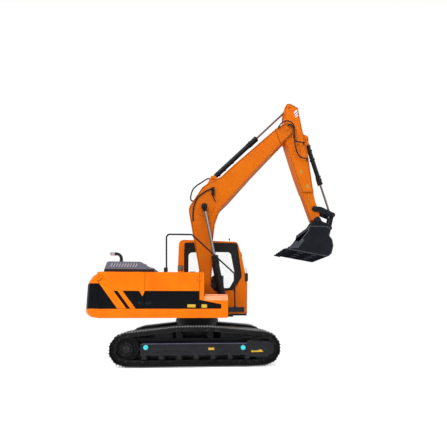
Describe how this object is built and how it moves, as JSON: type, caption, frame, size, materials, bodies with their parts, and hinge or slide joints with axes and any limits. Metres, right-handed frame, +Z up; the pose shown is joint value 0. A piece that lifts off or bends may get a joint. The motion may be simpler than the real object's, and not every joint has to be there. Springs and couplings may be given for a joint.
{
  "type": "crawler excavator",
  "caption": "Tracked hydraulic excavator with cab, swinging house, one-piece boom, arm and toothed bucket; doors, lids and linkage move.",
  "frame": {"origin": "on the ground, under the swing axis", "axes": "+X forward to the boom, +Y left to the cab side, +Z up"},
  "size_m": [6.0256, 2.5, 6.5033],
  "materials": {
    "orange_paint": "semi-gloss",
    "black_paint": "satin",
    "frame_paint": "matte",
    "track_steel": "worn",
    "bucket_steel": "satin",
    "rod_chrome": "polished",
    "exhaust_metal": "polished tip",
    "engine_iron": "matte",
    "window_glass": "clear, lightly tinted",
    "seat_fabric": "woven",
    "cab_plastic": "textured",
    "hose_rubber": "matte"
  },
  "bodies": {
    "undercarriage": {"car_body": "frame_paint", "swing_bearing": "frame_paint", "track_left": "track_steel", "track_frame_left": "frame_paint", "rollers_left": "track_steel", "sprocket_left": "track_steel", "travel_motor_left": "frame_paint", "idler_left": "track_steel", "track_right": "track_steel", "track_frame_right": "frame_paint", "rollers_right": "track_steel", "sprocket_right": "track_steel", "travel_motor_right": "frame_paint", "idler_right": "track_steel"},
    "house": {"revolving_frame": "frame_paint", "counterweight": "orange_paint", "engine_block": "engine_iron", "body_shell": "orange_paint", "hood_hinges": "frame_paint", "front_box": "orange_paint", "handrail": "black_paint", "cab_shell": "orange_paint", "cab_glass_right": "window_glass", "cab_glass_front": "window_glass", "cab_glass_rear": "window_glass", "roof_hatch": "window_glass", "operator_seat": "seat_fabric", "cab_console": "cab_plastic", "boom_bracket": "orange_paint", "front_step": "frame_paint", "cab_mirror": "cab_plastic"},
    "hood": {"engine_hood": "black_paint", "exhaust_pipe": "exhaust_metal"},
    "box_lid": {"front_box_lid": "orange_paint"},
    "right_rear_door": {"right_rear_door": "orange_paint"},
    "right_front_door": {"right_front_door": "orange_paint"},
    "left_side_door": {"left_side_door": "orange_paint"},
    "cab_door": {"cab_door": "orange_paint", "cab_door_glass": "window_glass"},
    "boom": {"boom": "orange_paint", "boom_lamp": "black_paint", "boom_hoses": "hose_rubber", "arm_hoses": "hose_rubber"},
    "arm": {"arm": "orange_paint"},
    "boom_cylinder_tube": {"boom_cylinder_tube": "black_paint"},
    "boom_cylinder_rod": {"boom_cylinder_rod": "rod_chrome"},
    "arm_cylinder_tube": {"arm_cylinder_tube": "black_paint"},
    "arm_cylinder_rod": {"arm_cylinder_rod": "rod_chrome"},
    "bucket_cylinder_tube": {"bucket_cylinder_tube": "black_paint"},
    "bucket_cylinder_rod": {"bucket_cylinder_rod": "rod_chrome"},
    "rocker": {"rocker_links": "bucket_steel"},
    "link": {"bucket_link": "bucket_steel"},
    "bucket": {"bucket": "bucket_steel", "bucket_teeth": "bucket_steel"}
  },
  "joints": [
    {"name": "swing", "type": "hinge", "parent": "undercarriage", "child": "house", "pos_m": [0, 0, 0.87], "axis": [0, 0, 1], "continuous": true},
    {"name": "boom_lift", "type": "hinge", "parent": "house", "child": "boom", "pos_m": [0.2, -0.13, 1.66], "axis": [0, -1, 0], "range_deg": [-95, 2]},
    {"name": "boom_cylinder_tilt", "type": "hinge", "parent": "house", "child": "boom_cylinder_tube", "pos_m": [0.68, -0.13, 1.2], "axis": [0, -1, 0], "range_deg": [-90.44, 2.39]},
    {"name": "boom_cylinder_slide", "type": "slide", "parent": "boom_cylinder_tube", "child": "boom_cylinder_rod", "axis": [-0.205, 0, 0.9788], "range_m": [-0.97441, 0.0303]},
    {"name": "arm_swing", "type": "hinge", "parent": "boom", "child": "arm", "pos_m": [2.27, -0.13, 5.8], "axis": [0, -1, 0], "range_deg": [-2, 105], "deforming": ["arm_hoses"]},
    {"name": "arm_cylinder_tilt", "type": "hinge", "parent": "boom", "child": "arm_cylinder_tube", "pos_m": [0.375, -0.13, 4.48], "axis": [0, -1, 0], "range_deg": [-1.51, 0.52]},
    {"name": "arm_cylinder_slide", "type": "slide", "parent": "arm_cylinder_tube", "child": "arm_cylinder_rod", "axis": [0.7098, 0, 0.7044], "range_m": [-1.00629, 0.02898]},
    {"name": "bucket_curl", "type": "hinge", "parent": "arm", "child": "bucket", "pos_m": [3.025, -0.13, 3.437], "axis": [0, -1, 0], "range_deg": [-30, 100]},
    {"name": "rocker_swing", "type": "hinge", "parent": "arm", "child": "rocker", "pos_m": [2.955, -0.13, 3.725], "axis": [0, -1, 0], "range_deg": [-22.86, 75.05]},
    {"name": "link_swing", "type": "hinge", "parent": "bucket", "child": "link", "pos_m": [3.335, -0.13, 3.235], "axis": [0, -1, 0], "range_deg": [-89.83, 27.3]},
    {"name": "bucket_cylinder_tilt", "type": "hinge", "parent": "arm", "child": "bucket_cylinder_tube", "pos_m": [2.805, -0.13, 5.6], "axis": [0, -1, 0], "range_deg": [-1.22, 2.9]},
    {"name": "bucket_cylinder_slide", "type": "slide", "parent": "bucket_cylinder_tube", "child": "bucket_cylinder_rod", "axis": [0.2906, 0, -0.9568], "range_m": [-0.60517, 0.18855]},
    {"name": "hood_lid", "type": "hinge", "parent": "house", "child": "hood", "pos_m": [-0.955, 0, 2.005], "axis": [0, 1, 0], "range_deg": [0, 60]},
    {"name": "front_box_lid_hinge", "type": "hinge", "parent": "house", "child": "box_lid", "pos_m": [0.182, -0.91, 1.534], "axis": [0, -1, 0], "range_deg": [0, 80]},
    {"name": "right_rear_door_hinge", "type": "hinge", "parent": "house", "child": "right_rear_door", "pos_m": [-2.00552, -1.232, 1.5], "axis": [0, 0, -1], "range_deg": [0, 110]},
    {"name": "right_front_door_hinge", "type": "hinge", "parent": "house", "child": "right_front_door", "pos_m": [0.04, -1.232, 1.5], "axis": [0, 0, 1], "range_deg": [0, 110]},
    {"name": "left_side_door_hinge", "type": "hinge", "parent": "house", "child": "left_side_door", "pos_m": [-2.00552, 1.232, 1.5], "axis": [0, 0, 1], "range_deg": [0, 110]},
    {"name": "cab_door_hinge", "type": "hinge", "parent": "house", "child": "cab_door", "pos_m": [-0.46, 1.232, 2], "axis": [0, 0, 1], "range_deg": [0, 110]}
  ],
  "couplings": [
    {"joint": "boom_cylinder_tilt", "follows": "boom_lift", "ratio": 0.94671},
    {"joint": "boom_cylinder_slide", "follows": "boom_lift", "m_per_rad": 0.58165},
    {"joint": "arm_cylinder_tilt", "follows": "arm_swing", "ratio": -0.00959},
    {"joint": "arm_cylinder_slide", "follows": "arm_swing", "m_per_rad": -0.54365},
    {"joint": "rocker_swing", "follows": "bucket_curl", "ratio": 0.74548},
    {"joint": "link_swing", "follows": "bucket_curl", "ratio": -0.89333},
    {"joint": "bucket_cylinder_tilt", "follows": "bucket_curl", "ratio": 0.024025},
    {"joint": "bucket_cylinder_slide", "follows": "bucket_curl", "m_per_rad": -0.34101}
  ]
}
